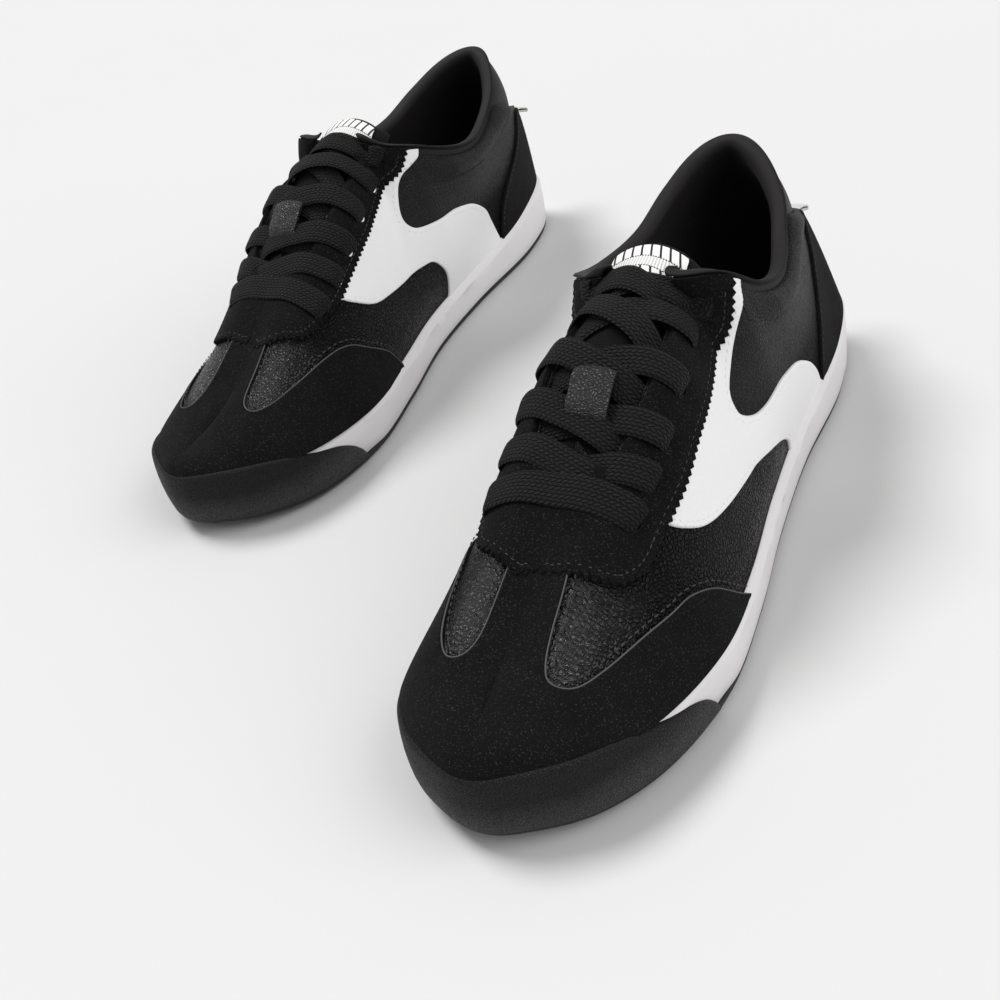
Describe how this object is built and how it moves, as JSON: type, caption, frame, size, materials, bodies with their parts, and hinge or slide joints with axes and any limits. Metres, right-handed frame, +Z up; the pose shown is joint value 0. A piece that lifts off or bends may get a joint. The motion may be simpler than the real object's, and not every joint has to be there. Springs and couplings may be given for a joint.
{
  "type": "pair of lace-up sports shoes",
  "caption": "Pair of low lace-up cup-sole sports shoes with grained toe bumper, suede overlays, white side flashes, padded collar, tongue and flat laces.",
  "frame": {"origin": "bottom centre of the bounding box of the pair, on the floor", "axes": "+Z up, toes point towards -Y, +X towards the wearer's left, so the left shoe is on the +X side"},
  "size_m": [0.277, 0.3808, 0.1107],
  "materials": {
    "black_rubber": "satin",
    "white_rubber": "satin",
    "black_grained_rubber": "fine grained",
    "board": "matte",
    "black_knit": "matte",
    "black_grained_leather": "pebbled, semi-gloss",
    "black_satin": "satin",
    "black_suede": "napped, matte",
    "white_leather": "smooth",
    "white_webbing": "woven",
    "black_webbing": "woven"
  },
  "bodies": {
    "left_shoe": {"left_outsole": "black_rubber", "left_midsole": "white_rubber", "left_toe_bumper": "black_grained_rubber", "left_lasting_board": "board", "left_footbed": "black_knit", "left_vamp": "black_grained_leather", "left_quarter_outer": "black_grained_leather", "left_quarter_inner": "black_grained_leather", "left_vamp_lining": "black_knit", "left_toe_puff": "board", "left_heel_counter": "board", "left_quarter_lining": "black_satin", "left_collar_padding": "black_satin", "left_toe_overlay": "black_suede", "left_eyestay": "black_suede", "left_flash_outer": "white_leather", "left_flash_inner": "white_leather", "left_heel_overlay": "black_suede", "left_tongue_base": "black_knit", "left_lace": "black_webbing", "left_lace_keeper": "black_grained_leather"},
    "left_tongue_flap": {"left_tongue": "black_knit", "left_tongue_label": "white_webbing"},
    "left_pull_tab": {"left_heel_pull_tab": "white_webbing"},
    "right_shoe": {"right_outsole": "black_rubber", "right_midsole": "white_rubber", "right_toe_bumper": "black_grained_rubber", "right_lasting_board": "board", "right_footbed": "black_knit", "right_vamp": "black_grained_leather", "right_quarter_outer": "black_grained_leather", "right_quarter_inner": "black_grained_leather", "right_vamp_lining": "black_knit", "right_toe_puff": "board", "right_heel_counter": "board", "right_quarter_lining": "black_satin", "right_collar_padding": "black_satin", "right_toe_overlay": "black_suede", "right_eyestay": "black_suede", "right_flash_outer": "white_leather", "right_flash_inner": "white_leather", "right_heel_overlay": "black_suede", "right_tongue_base": "black_knit", "right_lace": "black_webbing", "right_lace_keeper": "black_grained_leather"},
    "right_tongue_flap": {"right_tongue": "black_knit", "right_tongue_label": "white_webbing"},
    "right_pull_tab": {"right_heel_pull_tab": "white_webbing"}
  },
  "joints": [
    {"name": "right_shoe_lift", "type": "slide", "parent": "left_shoe", "child": "right_shoe", "axis": [0, 0, 1], "range_m": [0, 0.15]},
    {"name": "left_tongue_bend", "type": "hinge", "parent": "left_shoe", "child": "left_tongue_flap", "pos_m": [0.092, -0.0645, 0.086], "axis": [1, 0, 0], "range_deg": [-12, 0]},
    {"name": "left_pull_tab_bend", "type": "hinge", "parent": "left_shoe", "child": "left_pull_tab", "pos_m": [0.092, 0.0818, 0.0581], "axis": [1, 0, 0], "range_deg": [-20, 20]},
    {"name": "right_tongue_bend", "type": "hinge", "parent": "right_shoe", "child": "right_tongue_flap", "pos_m": [-0.092, 0.0355, 0.086], "axis": [1, 0, 0], "range_deg": [-12, 0]},
    {"name": "right_pull_tab_bend", "type": "hinge", "parent": "right_shoe", "child": "right_pull_tab", "pos_m": [-0.092, 0.1818, 0.0581], "axis": [1, 0, 0], "range_deg": [-20, 20]}
  ]
}
